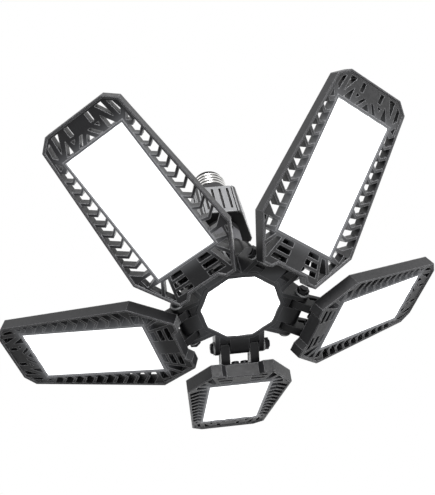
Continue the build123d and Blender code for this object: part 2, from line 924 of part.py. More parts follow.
def pivot_washers():
    """Washer outside each ear, under the bolt's head and under its nut."""
    with BuildPart() as washers:
        for inner_face in (-washer_outer, ear_outer):
            with BuildSketch(Plane.XZ.offset(inner_face)):
                Circle(washer_radius)
                Circle(bolt_radius, mode=Mode.SUBTRACT)
            extrude(amount=washer_thickness)
    save_on_leaves(washers, "pivot_washers")


def bracket_screws():
    """Four screws that hold a bracket on the back of its leaf."""
    with BuildPart(Plane.XY.offset(plate_back)) as screws:
        with bracket_screw_sites():
            pan_head_screw(plate_thickness + screw_depth)
    save_on_leaves(screws, "bracket_screws")


screw_shell()
base_insulator()
centre_contact()
barrel_cap()
driver_barrel()
driver_board()
driver_parts()
supply_leads()
neck_ring()
neck_housing()
hub_dome()
hub_housing()
hub_board()
hub_leds()
hub_lens()
hub_screws()
leaf_frame()
leaf_bracket()
leaf_board()
leaf_leds()
leaf_lens()
pivot_bolt()
pivot_washers()
bracket_screws()
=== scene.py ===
import bpy
import bmesh
import json
from math import cos, sin, pi, radians
from mathutils import Matrix, Quaternion, Vector


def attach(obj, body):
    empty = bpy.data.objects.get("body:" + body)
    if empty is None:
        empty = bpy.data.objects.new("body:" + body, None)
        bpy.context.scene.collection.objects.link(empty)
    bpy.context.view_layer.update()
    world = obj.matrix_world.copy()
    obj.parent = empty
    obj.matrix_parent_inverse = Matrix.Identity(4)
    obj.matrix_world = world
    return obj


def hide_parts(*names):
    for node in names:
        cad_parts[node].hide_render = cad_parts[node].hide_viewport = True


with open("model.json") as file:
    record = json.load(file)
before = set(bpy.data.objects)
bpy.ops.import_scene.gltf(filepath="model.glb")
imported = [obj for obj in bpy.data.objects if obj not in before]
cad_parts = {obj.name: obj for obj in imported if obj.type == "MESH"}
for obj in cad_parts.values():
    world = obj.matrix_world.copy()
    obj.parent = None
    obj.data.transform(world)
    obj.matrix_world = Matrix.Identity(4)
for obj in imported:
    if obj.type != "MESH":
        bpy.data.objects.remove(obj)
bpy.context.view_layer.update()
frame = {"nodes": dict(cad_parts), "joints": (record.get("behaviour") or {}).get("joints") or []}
nodes = frame["nodes"]
joints = {joint["child"]: joint for joint in frame["joints"]}
leaves = ["upper_left", "upper_right", "right", "bottom", "left"]
openLimit = 5  # degrees that a leaf opens past level, the same in every joint
mm = 0.001
print("frame loaded:", len(nodes), "nodes")


def leafMatrix(leaf):
    # from a leaf's own directions (along, across, back) at its hinge to the shared frame
    joint = joints["leaf_" + leaf]
    tilt = radians(openLimit - joint["range_deg"][1])
    across = Vector(joint["axis"])
    out = Vector((across.y, -across.x, 0))
    up = Vector((0, 0, 1))
    along = cos(tilt) * out - sin(tilt) * up
    back = sin(tilt) * out + cos(tilt) * up
    turn = Matrix((along, across, back)).transposed()
    return Matrix.Translation(joint["pos_m"]) @ turn.to_4x4()


def nodeBox(node, matrix):
    # lowest and highest corner of a node, in mm, in the directions of a matrix
    back = matrix.inverted()
    places = [back @ vertex.co / mm for vertex in nodes[node].data.vertices]
    return [[pick(place[i] for place in places) for i in range(3)] for pick in (min, max)]


leafLow, leafHigh = nodeBox("leaf_lens_bottom", leafMatrix("bottom"))
hubLow, hubHigh = nodeBox("hub_lens", Matrix())


# Colours and nodes

def linearColour(hexCode):
    parts = [int(hexCode[i:i + 2], 16) / 255 for i in (1, 3, 5)]
    return [p / 12.92 if p <= 0.04045 else ((p + 0.055) / 1.055) ** 2.4 for p in parts] + [1]


def addNode(tree, kind, settings):
    # a key is an input's name or number, or one of the node's own settings
    node = tree.nodes.new("ShaderNode" + kind)
    node.location = (190 * len(tree.nodes), 0)
    for key, value in settings.items():
        if isinstance(key, str) and key not in node.inputs:
            setattr(node, key, value)
        elif isinstance(value, bpy.types.NodeSocket):
            tree.links.new(value, node.inputs[key])
        else:
            node.inputs[key].default_value = value
    return node


def startMaterial(name):
    material = bpy.data.materials.new(name)
    material.use_nodes = True
    tree = material.node_tree
    tree.nodes.clear()
    shader = addNode(tree, "BsdfPrincipled", {})
    addNode(tree, "OutputMaterial", {"Surface": shader.outputs[0]})
    coords = addNode(tree, "TexCoord", {}).outputs["Object"]
    return material, tree, shader, coords


bevelSamples = 6  # rays that soften an edge


# Painted light: an emission on the casting round a lens stands in for the light that the lens throws
# on it, brightest at the lens, gone a little way out.
paintedGlowValues = {
    "reach": 10.0,   # mm from the lens's edge
    "depth": 9.0,    # mm behind the lens's face
    "fall": 2.2,     # a power; a higher one keeps the light nearer to the lens
    "leafLevel": 0.12, "hubLevel": 0.03,    # at the lens, where 1 is white
    "colour": "#f2f5fb",
}


def paintedLensGlow(tree, coords, matrix, low, high, level):
    middle = (low[0] + high[0]) / 2
    place = addNode(tree, "Mapping", {"vector_type": "TEXTURE", "Vector": coords,
                                      "Location": matrix.to_translation(),
                                      "Rotation": matrix.to_euler()})
    parts = addNode(tree, "SeparateXYZ", {0: place.outputs[0]})
    away = []
    for axis, centre in ((0, middle), (1, 0.0)):
        moved = addNode(tree, "Math", {"operation": "SUBTRACT", 0: parts.outputs[axis],
                                       1: centre * mm})
        side = addNode(tree, "Math", {"operation": "ABSOLUTE", 0: moved.outputs[0]})
        away.append(addNode(tree, "Math", {"operation": "SUBTRACT", 0: side.outputs[0],
                                           1: (high[axis] - centre) * mm}).outputs[0])
    gap = addNode(tree, "Math", {"operation": "MAXIMUM", 0: away[0], 1: away[1]})
    near = addNode(tree, "MapRange", {"Value": gap.outputs[0], "From Min": 0.0,
                                      "From Max": paintedGlowValues["reach"] * mm,
                                      "To Min": 1.0, "To Max": 0.0})
    fade = addNode(tree, "MapRange", {"Value": parts.outputs[2], "From Min": low[2] * mm,
                                      "From Max": (low[2] + paintedGlowValues["depth"]) * mm,
                                      "To Min": level, "To Max": 0.0})
    falling = addNode(tree, "Math", {"operation": "POWER", 0: near.outputs[0],
                                     1: paintedGlowValues["fall"]})
    return addNode(tree, "Math", {"operation": "MULTIPLY", 0: falling.outputs[0],
                                  1: fade.outputs[0]}).outputs[0]


# Powder coat on die-cast aluminium: satin, with fine orange peel that breaks up each highlight, and
# lighter along the edges, partly a thinner worn coat and partly a painted highlight.
coatValues = {
    "peelSize": 1.6,       # mm; the real peel is about 0.5, drawn coarser so that it shows
    "speckSize": 0.9,      # mm
    "blotchSize": 18.0,    # mm, slow change over a casting
    "edgeRadius": 0.8,     # mm
    "bumpHeight": 0.035, "bumpStrength": 0.5,    # mm, and a share
    "shine": 0.28,         # where 0.5 is a full gloss paint
    "speckShare": 0.5,     # of the specks in the tone, where the blotches count as 1
    "toneFrom": 0.45, "toneTo": 1.05,            # noise over which the coat turns from dark to light
    "edgeFrom": 0.995, "edgeTo": 0.85,           # cosine of an edge's turn over which it shows worn and takes a painted highlight
    "darkWearAndHighlight": 0.7,       # share of the edge wear and painted highlight that shows on the darkest patches
    "peelFrom": 0.3, "peelTo": 0.7,              # noise over which the peel changes the gloss
    "smoother": 0.06, "rougher": 0.08,           # what the peel takes off and adds in roughness
}


def coatedCast(name, dark, light, edge, roughness, edgeShare=0.75, glowPlace=None):
    # the matrix, the low and high corners of the lens beside it, and the level of the painted lens
    # glow round it
    v = coatValues
    material, tree, shader, coords = startMaterial(name)
    peel = addNode(tree, "TexNoise", {"Vector": coords, "Detail": 3.0, "Roughness": 0.55,
                                      "Scale": 1 / (v["peelSize"] * mm)})
    speck = addNode(tree, "TexNoise", {"Vector": coords, "Detail": 2.0,
                                       "Scale": 1 / (v["speckSize"] * mm)})
    blotch = addNode(tree, "TexNoise", {"Vector": coords, "Detail": 4.0,
                                        "Scale": 1 / (v["blotchSize"] * mm)})
    tone = addNode(tree, "Math", {"operation": "MULTIPLY_ADD", 0: speck.outputs["Fac"],
                                  1: v["speckShare"], 2: blotch.outputs["Fac"]})
    share = addNode(tree, "MapRange", {"Value": tone.outputs[0], "From Min": v["toneFrom"],
                                       "From Max": v["toneTo"]})
    coat = addNode(tree, "Mix", {"data_type": "RGBA", 0: share.outputs[0],
                                 6: linearColour(dark), 7: linearColour(light)})
    # painted highlight together with real wear: the edges turn towards the light edge colour
    softened = addNode(tree, "Bevel", {"samples": bevelSamples, "Radius": v["edgeRadius"] * mm})
    face = addNode(tree, "NewGeometry", {})
    along = addNode(tree, "VectorMath", {"operation": "DOT_PRODUCT",
                                         0: softened.outputs[0], 1: face.outputs["Normal"]})
    wornAndHighlightedEdge = addNode(tree, "MapRange", {"Value": along.outputs["Value"],
                                      "From Min": v["edgeFrom"], "From Max": v["edgeTo"],
                                      "To Max": edgeShare})
    patchy = addNode(tree, "MapRange", {"Value": share.outputs[0], "To Min": v["darkWearAndHighlight"]})
    edgeWearAndHighlight = addNode(tree, "Math", {"operation": "MULTIPLY", 0: wornAndHighlightedEdge.outputs[0],
                                  1: patchy.outputs[0]})
    colour = addNode(tree, "Mix", {"data_type": "RGBA", 0: edgeWearAndHighlight.outputs[0],
                                   6: coat.outputs[2], 7: linearColour(edge)})
    gloss = addNode(tree, "MapRange", {"Value": peel.outputs["Fac"],
                                       "From Min": v["peelFrom"], "From Max": v["peelTo"],
                                       "To Min": roughness - v["smoother"],
                                       "To Max": roughness + v["rougher"]})
    bump = addNode(tree, "Bump", {"Strength": v["bumpStrength"],
                                  "Distance": v["bumpHeight"] * mm,
                                  "Height": peel.outputs["Fac"],
                                  "Normal": softened.outputs[0]})
    tree.links.new(colour.outputs[2], shader.inputs["Base Color"])
    tree.links.new(gloss.outputs[0], shader.inputs["Roughness"])
    tree.links.new(bump.outputs[0], shader.inputs["Normal"])
    if glowPlace:
        # painted light: emission on the casting that stands in for the lens's light falling on it
        tree.links.new(paintedLensGlow(tree, coords, *glowPlace), shader.inputs["Emission Strength"])
        shader.inputs["Emission Color"].default_value = linearColour(paintedGlowValues["colour"])
    shader.inputs["IOR"].default_value = 1.5
    shader.inputs["Specular IOR Level"].default_value = v["shine"]
    return material


# the third colour of each coat is its edge colour, worn coat and painted highlight together
frameCoats = {leaf: coatedCast("powder coated die cast leaf " + leaf, "#18181a", "#262628",
                               "#a4a4a7", 0.4, 0.85, (leafMatrix(leaf), leafLow, leafHigh,
                                                      paintedGlowValues["leafLevel"]))
              for leaf in leaves}
hubCoat = coatedCast("powder coated die cast hub", "#101012", "#1b1b1d", "#7c7c7f", 0.38, 0.6,
                     (Matrix(), hubLow, hubHigh, paintedGlowValues["hubLevel"]))
# painted shade: the dome takes the hub's black coat drawn darker, for the shade under the neck
domeCoatWithPaintedShade = coatedCast("powder coated dome", "#070708", "#0e0e0f", "#2c2c2e", 0.4, 0.5)
bracketCoat = coatedCast("powder coated bracket", "#141416", "#202022", "#77777a", 0.38)
neckPaint = coatedCast("satin painted die cast neck", "#58585b", "#656568", "#8a8a8c", 0.48, 0.4)


# Extruded aluminium with a satin silver grey coat: faint draw lines along the axis, lighter along
# the edges, partly a thin worn coat and partly a painted highlight, and painted shade that turns it
# black in the grooves and underneath.
barrelValues = {
    "lineSize": 0.8,      # mm between draw lines; the real ones are finer, drawn coarser to show
    "lineLength": 25,     # times as long as wide
    "lineDepth": 0.03, "lineStrength": 0.25,    # mm, and a share
    "cloudSize": 9.0,     # mm
    "smooth": 0.3, "rough": 0.46,               # roughness, from cloud to cloud
    "edgeRadius": 0.5,    # mm
    "edgeFrom": 0.995, "edgeTo": 0.88,          # cosine of an edge's turn over which it brightens, as worn coat and painted highlight
    "edgeShare": 0.8,
    "flats": 5, "firstFlat": 54,                # degrees from +X
    "flat": 20.0,         # mm from the axis to each flat
    "blackFrom": 0.15, "blackTo": 0.45,         # mm; depth in a groove over which it turns black, as painted shade
    "underFrom": 0.5, "underTo": 0.1,           # mm; height over which it turns black underneath, as painted shade
    # edge is the colour of the worn coat and painted highlight; black is the painted shade
    "coat": ("#858688", "#a2a3a5"), "edge": "#dcdcdd", "black": "#0c0c0d",
}


def drawnAluminium():
    v = barrelValues
    material, tree, shader, coords = startMaterial("extruded aluminium with silver coat")
    stretched = addNode(tree, "Mapping", {"Vector": coords,
                                          "Scale": (1, 1, 1 / v["lineLength"])})
    lines = addNode(tree, "TexNoise", {"Vector": stretched.outputs[0], "Detail": 4.0,
                                       "Scale": 1 / (v["lineSize"] * mm)})
    cloud = addNode(tree, "TexNoise", {"Vector": coords, "Scale": 1 / (v["cloudSize"] * mm),
                                       "Detail": 3.0})
    coat = addNode(tree, "Mix", {"data_type": "RGBA", 0: lines.outputs["Fac"],
                                 6: linearColour(v["coat"][0]),
                                 7: linearColour(v["coat"][1])})
    softened = addNode(tree, "Bevel", {"samples": bevelSamples, "Radius": v["edgeRadius"] * mm})
    face = addNode(tree, "NewGeometry", {})
    along = addNode(tree, "VectorMath", {"operation": "DOT_PRODUCT",
                                         0: softened.outputs[0], 1: face.outputs["Normal"]})
    wornAndHighlightedEdge = addNode(tree, "MapRange", {"Value": along.outputs["Value"],
                                      "From Min": v["edgeFrom"], "From Max": v["edgeTo"],
                                      "To Max": v["edgeShare"]})
    tone = addNode(tree, "Mix", {"data_type": "RGBA", 0: wornAndHighlightedEdge.outputs[0],
                                 6: coat.outputs[2], 7: linearColour(v["edge"])})
    reach = None  # how far a point is from the axis, towards the flat nearest to it
    for k in range(v["flats"]):
        side = radians(v["firstFlat"] + 360 / v["flats"] * k)
        out = addNode(tree, "VectorMath", {"operation": "DOT_PRODUCT", 0: coords,
                                           1: (cos(side), sin(side), 0)}).outputs["Value"]
        reach = out if reach is None else addNode(tree, "Math", {
            "operation": "MAXIMUM", 0: reach, 1: out}).outputs[0]
    # painted shade: the grooves turn black with their depth
    paintedGrooveShade = addNode(tree, "MapRange", {"Value": reach,
                                      "From Min": (v["flat"] - v["blackFrom"]) * mm,
                                      "From Max": (v["flat"] - v["blackTo"]) * mm})
    bottom = nodeBox("driver_barrel", Matrix())[0][2]
    height = addNode(tree, "SeparateXYZ", {0: coords}).outputs[2]
    paintedUndersideShade = addNode(tree, "MapRange", {"Value": height,
                                       "From Min": (bottom + v["underFrom"]) * mm,
                                       "From Max": (bottom + v["underTo"]) * mm})
    # painted shade in the grooves and underneath, drawn in black
    black = addNode(tree, "Math", {"operation": "MAXIMUM", 0: paintedGrooveShade.outputs[0],
                                   1: paintedUndersideShade.outputs[0]})
    paint = addNode(tree, "Mix", {"data_type": "RGBA", 0: black.outputs[0],
                                  6: tone.outputs[2], 7: linearColour(v["black"])})
    gloss = addNode(tree, "MapRange", {"Value": cloud.outputs["Fac"], "To Min": v["smooth"],
                                       "To Max": v["rough"]})
    bump = addNode(tree, "Bump", {"Strength": v["lineStrength"], "Distance": v["lineDepth"] * mm,
                                  "Height": lines.outputs["Fac"], "Normal": softened.outputs[0]})
    tree.links.new(paint.outputs[2], shader.inputs["Base Color"])
    tree.links.new(gloss.outputs[0], shader.inputs["Roughness"])
    tree.links.new(bump.outputs[0], shader.inputs["Normal"])
    shader.inputs["IOR"].default_value = 1.5
    return material


# Tinned and blackened metals: a faint haze and handling marks soften the reflections.
platedValues = {
    "hazeFrom": 0.3, "hazeTo": 0.75,      # noise over which the haze changes the gloss
    "hazeRough": 0.12,                    # roughness that the haze adds
    "marks": 4,                           # across one patch of haze
    "markDepth": 0.02, "markStrength": 0.2,    # mm, and a share
}


def platedMetal(name, clean, dull, roughness, grain):
    v = platedValues
    material, tree, shader, coords = startMaterial(name)
    haze = addNode(tree, "TexNoise", {"Vector": coords, "Scale": 1 / (grain * mm),
                                      "Detail": 5.0, "Roughness": 0.6})
    marks = addNode(tree, "TexNoise", {"Vector": coords, "Scale": v["marks"] / (grain * mm),
                                       "Detail": 2.0})
    tone = addNode(tree, "Mix", {"data_type": "RGBA", 0: haze.outputs["Fac"],
                                 6: linearColour(dull), 7: linearColour(clean)})
    gloss = addNode(tree, "MapRange", {"Value": haze.outputs["Fac"],
                                       "From Min": v["hazeFrom"], "From Max": v["hazeTo"],
                                       "To Min": roughness + v["hazeRough"],
                                       "To Max": roughness})
    bump = addNode(tree, "Bump", {"Strength": v["markStrength"], "Distance": v["markDepth"] * mm,
                                  "Height": marks.outputs["Fac"]})
    tree.links.new(tone.outputs[2], shader.inputs["Base Color"])
    tree.links.new(gloss.outputs[0], shader.inputs["Roughness"])
    tree.links.new(bump.outputs[0], shader.inputs["Normal"])
    shader.inputs["Metallic"].default_value = 1.0
    return material


# Moulded plastics, rubber, glass and boards: an even colour with a fine moulded grain.
mouldedValues = {
    "cloudScale": 0.1,      # of the grain's scale, so a cloud is ten grains wide
    "glossSpread": 0.07,    # roughness, up and down
    "grainStrength": 0.4,
}


def mouldedFinish(name, low, high, roughness, grain, height, ior=1.5):
    v = mouldedValues
    material, tree, shader, coords = startMaterial(name)
    skin = addNode(tree, "TexNoise", {"Vector": coords, "Scale": 1 / (grain * mm),
                                      "Detail": 3.0})
    cloud = addNode(tree, "TexNoise", {"Vector": coords, "Scale": v["cloudScale"] / (grain * mm),
                                       "Detail": 3.0})
    tone = addNode(tree, "Mix", {"data_type": "RGBA", 0: cloud.outputs["Fac"],
                                 6: linearColour(low), 7: linearColour(high)})
    gloss = addNode(tree, "MapRange", {"Value": skin.outputs["Fac"],
                                       "To Min": roughness - v["glossSpread"],
                                       "To Max": roughness + v["glossSpread"]})
    bump = addNode(tree, "Bump", {"Strength": v["grainStrength"], "Distance": height * mm,
                                  "Height": skin.outputs["Fac"]})
    tree.links.new(tone.outputs[2], shader.inputs["Base Color"])
    tree.links.new(gloss.outputs[0], shader.inputs["Roughness"])
    tree.links.new(bump.outputs[0], shader.inputs["Normal"])
    shader.inputs["IOR"].default_value = ior
    return material


# Opal polycarbonate with light chips behind it: milky white that glows, hotter over each chip.
glowValues = {
    "plain": 1.15,      # strength between the chips, where 1 is white
    "spot": 2.6,        # added over a chip
    "spotSize": 4.2,    # mm from a chip's middle to where it has faded
    "skinSize": 0.6, "skinDepth": 0.02, "skinStrength": 0.3,    # mm, mm and a share
    "cloudSize": 14,    # mm, slow change of tone
    "tone": ("#f1f3f5", "#fbfcfd"), "light": "#fdfeff",
}


def opalLens(name, pitch, start):
    # pitch and start are the spacing and the first place of the chips, in mm, along x and y
    v = glowValues
    material, tree, shader, coords = startMaterial(name)
    skin = addNode(tree, "TexNoise", {"Vector": coords, "Scale": 1 / (v["skinSize"] * mm),
                                      "Detail": 2.0})
    cloud = addNode(tree, "TexNoise", {"Vector": coords, "Scale": 1 / (v["cloudSize"] * mm)})
    tone = addNode(tree, "Mix", {"data_type": "RGBA", 0: cloud.outputs["Fac"],
                                 6: linearColour(v["tone"][0]),
                                 7: linearColour(v["tone"][1])})
    parts = addNode(tree, "SeparateXYZ", {0: coords})
    squares = []
    for axis in range(2):
        moved = addNode(tree, "Math", {"operation": "SUBTRACT", 0: parts.outputs[axis],
                                       1: (start[axis] - pitch[axis] / 2) * mm})
        turn = addNode(tree, "Math", {"operation": "WRAP", 0: moved.outputs[0],
                                      1: pitch[axis] * mm, 2: 0.0})
        off = addNode(tree, "Math", {"operation": "SUBTRACT", 0: turn.outputs[0],
                                     1: pitch[axis] / 2 * mm})
        squares.append(addNode(tree, "Math", {"operation": "MULTIPLY", 0: off.outputs[0],
                                              1: off.outputs[0]}).outputs[0])
    total = addNode(tree, "Math", {"operation": "ADD", 0: squares[0], 1: squares[1]})
    spot = addNode(tree, "MapRange", {"interpolation_type": "SMOOTHSTEP",
                                      "Value": total.outputs[0],
                                      "From Max": (v["spotSize"] * mm) ** 2,
                                      "To Min": v["plain"] + v["spot"],
                                      "To Max": v["plain"]})
    bump = addNode(tree, "Bump", {"Strength": v["skinStrength"], "Distance": v["skinDepth"] * mm,
                                  "Height": skin.outputs["Fac"]})
    tree.links.new(tone.outputs[2], shader.inputs["Base Color"])
    tree.links.new(spot.outputs[0], shader.inputs["Emission Strength"])
    tree.links.new(bump.outputs[0], shader.inputs["Normal"])
    shader.inputs["Roughness"].default_value = 0.42
    shader.inputs["IOR"].default_value = 1.58
    shader.inputs["Emission Color"].default_value = linearColour(v["light"])
    return material


# Nickel plated thread: bright on its crests, partly rubbed by the socket and partly a painted
# highlight, and dull and dark in its roots, partly stain and partly painted shade.
threadFinish = {
    "root": 12.05, "crest": 12.85,       # mm from the axis
    "stainAndPaintedShade": "#161616", "dull": "#6e6e6d", "rubbedAndPaintedHighlight": "#ecebe9",
    "dullAt": 0.5,                       # share of the way from root to crest
    "rootRough": 0.5, "crestRough": 0.16,
    "hazeSize": 3.2,                     # mm
    "hazeFrom": 0.3, "hazeTo": 0.7,      # noise over which the haze shifts the wear, painted shade and painted highlight
    "hazeShift": 0.12,                   # share of the thread's height, up and down
    "markDepth": 0.03, "markStrength": 0.2,    # mm, and a share
}


def threadNickel():
    v = threadFinish
    material, tree, shader, coords = startMaterial("rolled nickel plated shell")
    parts = addNode(tree, "SeparateXYZ", {0: coords})
    flat = addNode(tree, "CombineXYZ", {0: parts.outputs[0], 1: parts.outputs[1]})
    radius = addNode(tree, "VectorMath", {"operation": "LENGTH", 0: flat.outputs[0]})
    haze = addNode(tree, "TexNoise", {"Vector": coords, "Scale": 1 / (v["hazeSize"] * mm),
                                      "Detail": 5.0, "Roughness": 0.6})
    height = addNode(tree, "MapRange", {"Value": radius.outputs["Value"],
                                        "From Min": v["root"] * mm, "From Max": v["crest"] * mm})
    patchyShift = addNode(tree, "MapRange", {"Value": haze.outputs["Fac"],
                                        "From Min": v["hazeFrom"], "From Max": v["hazeTo"],
                                        "To Min": -v["hazeShift"], "To Max": v["hazeShift"]})
    share = addNode(tree, "Math", {"operation": "ADD", "use_clamp": True,
                                   0: height.outputs[0], 1: patchyShift.outputs[0]})
    # painted shade in the roots and painted highlight on the crests, with real stain and rubbing
    # mixed in
    ramp = addNode(tree, "ValToRGB", {0: share.outputs[0]})
    ramp.color_ramp.elements[0].color = linearColour(v["stainAndPaintedShade"])
    ramp.color_ramp.elements[1].color = linearColour(v["rubbedAndPaintedHighlight"])
    middle = ramp.color_ramp.elements.new(v["dullAt"])
    middle.color = linearColour(v["dull"])
    gloss = addNode(tree, "MapRange", {"Value": share.outputs[0], "To Min": v["rootRough"],
                                       "To Max": v["crestRough"]})
    bump = addNode(tree, "Bump", {"Strength": v["markStrength"], "Distance": v["markDepth"] * mm,
                                  "Height": haze.outputs["Fac"]})
    tree.links.new(ramp.outputs["Color"], shader.inputs["Base Color"])
    tree.links.new(gloss.outputs[0], shader.inputs["Roughness"])
    tree.links.new(bump.outputs[0], shader.inputs["Normal"])
    shader.inputs["Metallic"].default_value = 1.0
    return material


aluminium = drawnAluminium()
nickel = threadNickel()
tinned = platedMetal("tinned solder contact", "#cfcabb", "#a19c90", 0.34, 2.0)
blackSteel = platedMetal("blackened steel", "#3a3a3c", "#232325", 0.36, 2.0)
glass = mouldedFinish("black vitreous glass", "#08080a", "#121215", 0.12, 3.0, 0.02, 1.52)
moulded = mouldedFinish("moulded black abs", "#19191b", "#232326", 0.46, 0.7, 0.03, 1.53)
rubber = mouldedFinish("moulded silicone rubber", "#101011", "#1a1a1b", 0.66, 0.8, 0.04, 1.41)
washerNylon = mouldedFinish("moulded nylon", "#a2a3a5", "#bfc0c2", 0.45, 0.6, 0.02, 1.53)
greenMask = mouldedFinish("green solder mask", "#123c22", "#1b4f2e", 0.3, 1.2, 0.02)
whiteMask = mouldedFinish("white solder mask on aluminium", "#dcdcd8", "#ecece9", 0.4, 1.0, 0.02)
epoxy = mouldedFinish("moulded component case", "#232325", "#303033", 0.5, 0.8, 0.02)
silicone = mouldedFinish("silicone wire cover", "#bdbdb9", "#cfcfcc", 0.55, 0.8, 0.02)
phosphor = mouldedFinish("phosphor gel", "#e8cf62", "#f4e08a", 0.35, 0.5, 0.02, 1.41)
print("materials made")


# CAD nodes that keep their shape and take a better finish
finishes = {
    "base_insulator": glass, "centre_contact": tinned, "barrel_cap": moulded,
    "driver_barrel": aluminium, "driver_board": greenMask, "driver_parts": epoxy,
    "supply_leads": silicone, "neck_ring": rubber, "neck_housing": neckPaint,
    "hub_dome": domeCoatWithPaintedShade, "hub_housing": hubCoat, "hub_board": whiteMask,
    "hub_leds": phosphor, "hub_screws": blackSteel, "screw_shell": nickel,
    "leaf_frame": frameCoats, "leaf_bracket": bracketCoat, "leaf_board": whiteMask,
    "leaf_leds": phosphor, "pivot_bolt": blackSteel, "pivot_washers": washerNylon,
    "bracket_screws": blackSteel,
}


def finishOf(name):
    for leaf in leaves:  # the upper leaves come first, because their names end in the others'
        if name.endswith("_" + leaf):
            finish = finishes.get(name.removesuffix("_" + leaf))
            return finish[leaf] if isinstance(finish, dict) else finish
    return finishes.get(name)


for name, node in nodes.items():
    finish = finishOf(name)
    if finish:
        node.data.materials.clear()
        node.data.materials.append(finish)
print("finishes set")


# Lenses: flat opal plates with rounded edges, a hair crowned

lensValues = {
    "crown": 0.25, "hubCrown": 0.35, "edge": 0.5,               # mm
    "chipPitch": (11.3, 10.8), "chipStart": (24.1, -16.2),      # mm, from the hinge
    "hubPitch": (11.5, 11.5), "hubStart": (0, 0),               # mm, from the axis
    "outlineStep": 6,                                           # mm between points on a side
    "smoothAngle": 40,                                          # degrees; a sharper bend is a crease
}


def plateMesh(name, outline, front, thickness, crown, rings=6):
    # rings of the outline shrink towards the middle of the front, which rises by the crown
    edge = lensValues["edge"]
    mesh = bmesh.new()
    count = len(outline)
    bend = 0.3 * edge  # how far the middle of the rounded edge is from both faces
    reach = min(Vector(p).length for p in outline)
    levels = [(1.0, thickness), (1.0, edge), (1 - bend / reach, bend), (1 - edge / reach, 0.0)]
    for i in range(1, rings):
        levels.append(((1 - edge / reach) * (1 - i / rings), -crown * sin(pi / 2 * i / rings)))
    loops = []
    for share, depth in levels:
        loops.append([mesh.verts.new((x * share * mm, y * share * mm, (front + depth) * mm))
                      for x, y in outline])
    for lower, upper in zip(loops, loops[1:]):
        for i in range(count):
            j = (i + 1) % count
            mesh.faces.new((lower[i], lower[j], upper[j], upper[i]))
    tip = mesh.verts.new((0, 0, (front - crown) * mm))
    for i in range(count):
        mesh.faces.new((loops[-1][i], loops[-1][(i + 1) % count], tip))
    mesh.faces.new(loops[0])
    bmesh.ops.recalc_face_normals(mesh, faces=mesh.faces)
    return finishPiece(name, mesh)


def finishPiece(name, mesh):
    data = bpy.data.meshes.new(name)
    mesh.to_mesh(data)
    mesh.free()
    for polygon in data.polygons:
        polygon.use_smooth = True
    piece = bpy.data.objects.new(name, data)
    bpy.context.scene.collection.objects.link(piece)
    data.set_sharp_from_angle(angle=radians(lensValues["smoothAngle"]))
    return piece


def splitOutline(corners):
    # points about a step apart along the sides, so that the crown curves smoothly
    step = lensValues["outlineStep"]
    points = []
    for i, corner in enumerate(corners):
        a, b = Vector(corner), Vector(corners[(i + 1) % len(corners)])
        parts = max(1, round((b - a).length / step))
        points += [a.lerp(b, k / parts) for k in range(parts)]
    return [(p.x, p.y) for p in points]


leafOpal = opalLens("opal polycarbonate leaf lens", lensValues["chipPitch"],
                    lensValues["chipStart"])
hubOpal = opalLens("opal polycarbonate hub lens", lensValues["hubPitch"],
                   lensValues["hubStart"])
halfLength = (leafHigh[0] - leafLow[0]) / 2
halfWidth = leafHigh[1]
leafOutline = splitOutline([(-halfLength, -halfWidth), (halfLength, -halfWidth),
                            (halfLength, halfWidth), (-halfLength, halfWidth)])
for leaf in leaves:
    lens = plateMesh("leafLens_" + leaf, leafOutline, leafLow[2], leafHigh[2] - leafLow[2],
                     lensValues["crown"])
    lens.data.materials.append(leafOpal)
    lens.data.transform(Matrix.Translation(((leafLow[0] + halfLength) * mm, 0, 0)))
    lens.matrix_world = leafMatrix(leaf)
    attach(lens, "leaf_" + leaf)
    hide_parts("leaf_lens_" + leaf)

hubSides = 10
hubCorners = [(hubHigh[0] * cos(2 * pi * i / hubSides), hubHigh[0] * sin(2 * pi * i / hubSides))
              for i in range(hubSides)]
hubLens = plateMesh("hubLens", splitOutline(hubCorners), hubLow[2], hubHigh[2] - hubLow[2],
                    lensValues["hubCrown"])
hubLens.data.materials.append(hubOpal)
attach(hubLens, "hub")
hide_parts("hub_lens")
print("lenses made")


# Screw shell: thin metal with a rolled, rounded thread

shellValues = {
    "rootRadius": 11.975, "threadDepth": 1.05, "pitch": 3.629, "threadStart": 1.7,    # mm
    "straight": 19.0, "top": 22.2, "mouthRadius": 7.8, "wall": 0.6,                   # mm
    "turns": 4.2, "fade": 0.3,    # turns of thread, and turns over which it runs out
    "fullness": 0.85,             # a power; below 1 the crests are fuller than the roots
    "shoulderIn": 0.9, "shoulderUp": 1.1,    # powers that shape the rounded shoulder
    "insideIn": 0.8, "insideUp": 0.4, "insideDown": 1.0,    # mm; bend of the inside to the mouth
    "columns": 128, "rowStep": 0.2, "shoulderSteps": 12,    # points round, mm, and steps
}


def threadRadius(turn, z):
    v = shellValues
    climbed = (z - v["threadStart"]) / v["pitch"]
    lowEnd = min(1, max(0, (climbed + v["fade"]) / v["fade"]))
    highEnd = min(1, max(0, (v["turns"] + v["fade"] - climbed) / v["fade"]))
    wave = 0.5 + 0.5 * cos(2 * pi * (climbed - turn))
    return v["rootRadius"] + v["threadDepth"] * wave ** v["fullness"] * lowEnd * highEnd


